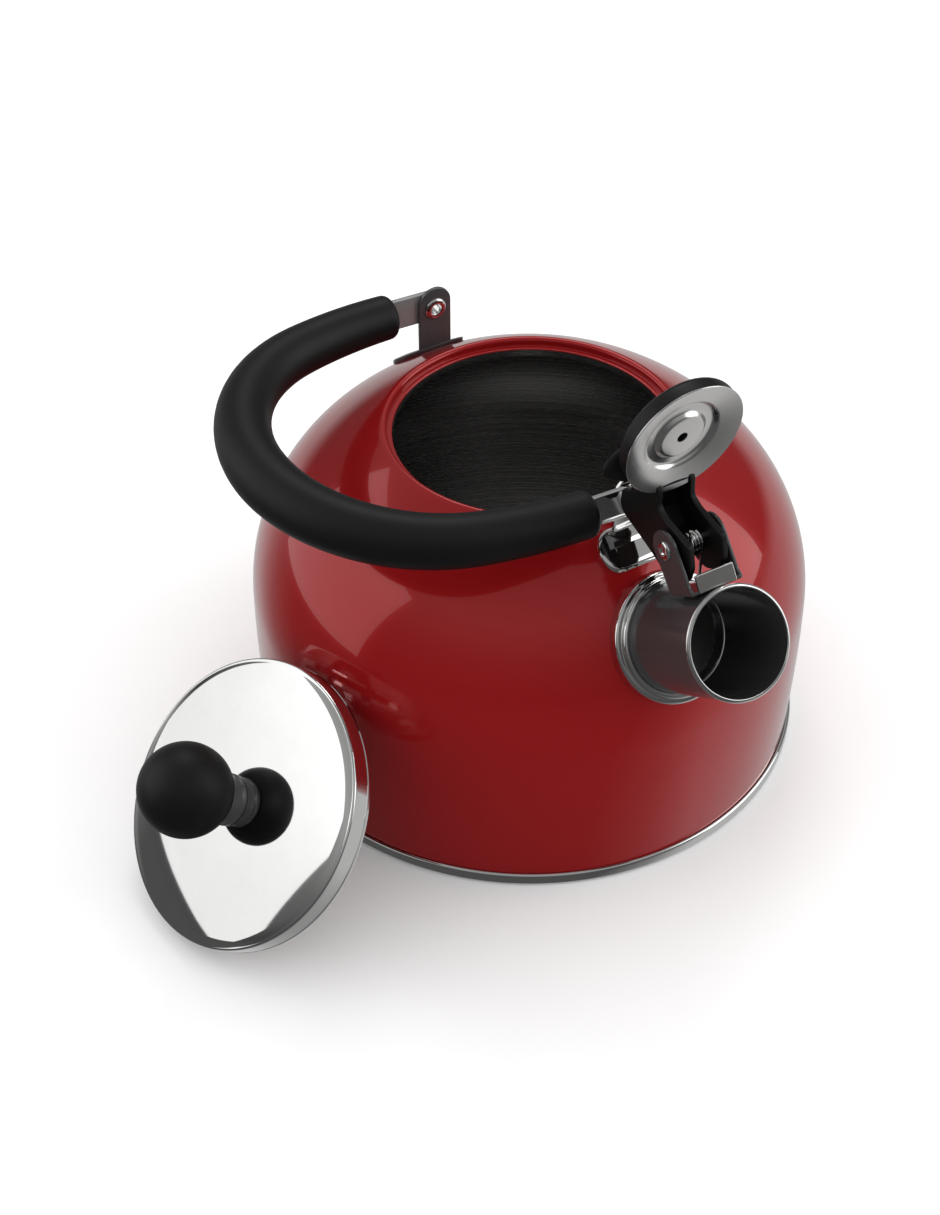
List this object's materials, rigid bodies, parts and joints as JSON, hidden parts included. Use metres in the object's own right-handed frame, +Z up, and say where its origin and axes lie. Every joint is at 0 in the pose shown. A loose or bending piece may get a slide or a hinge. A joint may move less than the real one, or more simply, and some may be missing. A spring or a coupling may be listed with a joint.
{
  "type": "whistling kettle",
  "caption": "Round enamelled stovetop kettle with a folding bail handle, a short spout with a flip-up whistle cap, and a loose domed lid with a ball knob.",
  "frame": {"origin": "centre of the round body, on the plane that the base stands on", "axes": "+Z up; +X horizontally along the spout; the handle folds down towards -Y, where the lid leans on the body"},
  "size_m": [0.2346, 0.2725, 0.1981],
  "materials": {
    "red_enamel": "glossy fired red enamel, smooth with a deep clear gloss",
    "base_chrome": "bright plated rim and pan",
    "spout_chrome": "polished plated tube with a stepped collar",
    "bracket_steel": "pressed sheet with a satin grain",
    "pin_steel": "turned, satin",
    "spring_steel": "drawn wire",
    "rivet_steel": "rolled hollow rivet, bright",
    "strap_steel": "flat strip, satin",
    "grip_black": "heat-proof moulding, matt with a fine texture",
    "whistle_black": "heat-proof moulding, satin edges",
    "whistle_steel": "pressed disc, spun grain",
    "lid_chrome": "mirror-polished dome",
    "seat_ring_steel": "pressed ring",
    "stem_steel": "turned collar, satin",
    "knob_black": "moulded ball, satin black",
    "washer_steel": "flat washer",
    "screw_steel": "domed head"
  },
  "bodies": {
    "kettle_body": {"body_shell": "red_enamel", "base_pan": "base_chrome", "spout_tube": "spout_chrome", "spout_flange": "spout_chrome", "spout_bracket": "bracket_steel", "whistle_hinge_pin": "pin_steel", "whistle_spring": "spring_steel", "front_handle_bracket": "bracket_steel", "rear_handle_bracket": "bracket_steel", "front_handle_rivet": "rivet_steel", "rear_handle_rivet": "rivet_steel"},
    "handle": {"handle_strap": "strap_steel", "handle_grip": "grip_black"},
    "whistle": {"whistle_lever": "whistle_black", "whistle_disc": "whistle_steel", "whistle_inner_disc": "whistle_steel"},
    "lid": {"lid_shell": "lid_chrome", "lid_seat_ring": "seat_ring_steel", "knob_stem": "stem_steel", "lid_knob": "knob_black", "lid_washer": "washer_steel", "knob_screw": "screw_steel"}
  },
  "joints": [
    {"name": "handle_fold", "type": "hinge", "parent": "kettle_body", "child": "handle", "pos_m": [-0.0031, 0, 0.1363], "axis": [-1, 0, 0], "range_deg": [0, 174]},
    {"name": "whistle_flip", "type": "hinge", "parent": "kettle_body", "child": "whistle", "pos_m": [0.0946, 0, 0.1409], "axis": [0, 1, 0], "range_deg": [0, 136]},
    {"name": "lid_lift", "type": "slide", "parent": "kettle_body", "child": "lid", "axis": [0.0777, -0.7391, 0.6691], "range_m": [0, 0.12]}
  ]
}
